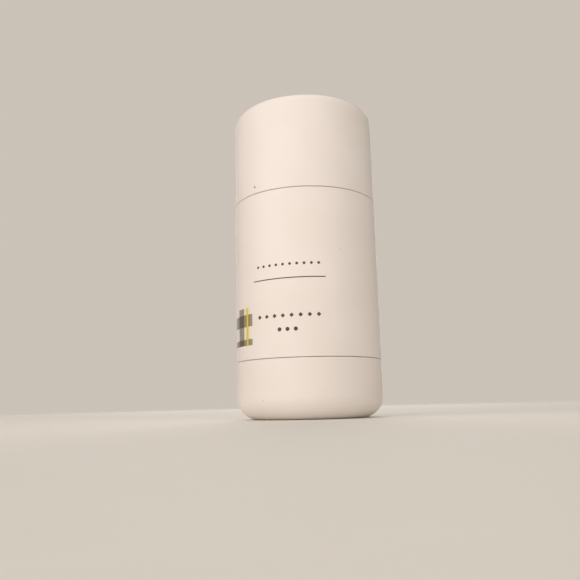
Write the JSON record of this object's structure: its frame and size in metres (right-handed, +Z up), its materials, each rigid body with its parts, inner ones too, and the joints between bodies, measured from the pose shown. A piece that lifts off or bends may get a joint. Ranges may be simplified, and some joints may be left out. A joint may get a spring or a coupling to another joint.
{
  "type": "deodorant stick",
  "caption": "Round twist-up deodorant stick with a push-on cap, a printed outer sleeve over an inner barrel, and a turning base dial that drives a screw and platform.",
  "frame": {"origin": "centre of the dial's foot, on the surface that it stands on", "axes": "+Z up along the stick's axis, from the dial to the cap; the pictured face looks along -Y, with +X to its right"},
  "size_m": [0.0502, 0.0502, 0.1085],
  "materials": {
    "shell_plastic": "satin warm white",
    "inner_plastic": "plain moulded white",
    "spindle_plastic": "plain moulded white",
    "seal_foam": "soft closed-cell foam",
    "stick_wax": "soft waxy off-white"
  },
  "bodies": {
    "barrel": {"inner_barrel": "inner_plastic", "outer_sleeve": "shell_plastic"},
    "dial": {"dial": "shell_plastic", "spindle": "spindle_plastic", "spindle_seal": "seal_foam"},
    "elevator": {"elevator": "inner_plastic", "stick": "stick_wax"},
    "cap": {"cap": "shell_plastic"}
  },
  "joints": [
    {"name": "dial_turn", "type": "hinge", "parent": "barrel", "child": "dial", "pos_m": [0, 0, 0], "axis": [0, 0, 1], "range_deg": [-2700, 900]},
    {"name": "elevator_rise", "type": "slide", "parent": "barrel", "child": "elevator", "axis": [0, 0, 1], "range_m": [-0.045, 0.015]},
    {"name": "cap_lift", "type": "slide", "parent": "barrel", "child": "cap", "axis": [0, 0, 1], "range_m": [0, 0.045]}
  ],
  "couplings": [
    {"joint": "elevator_rise", "follows": "dial_turn", "m_per_rad": 0.00095493}
  ]
}
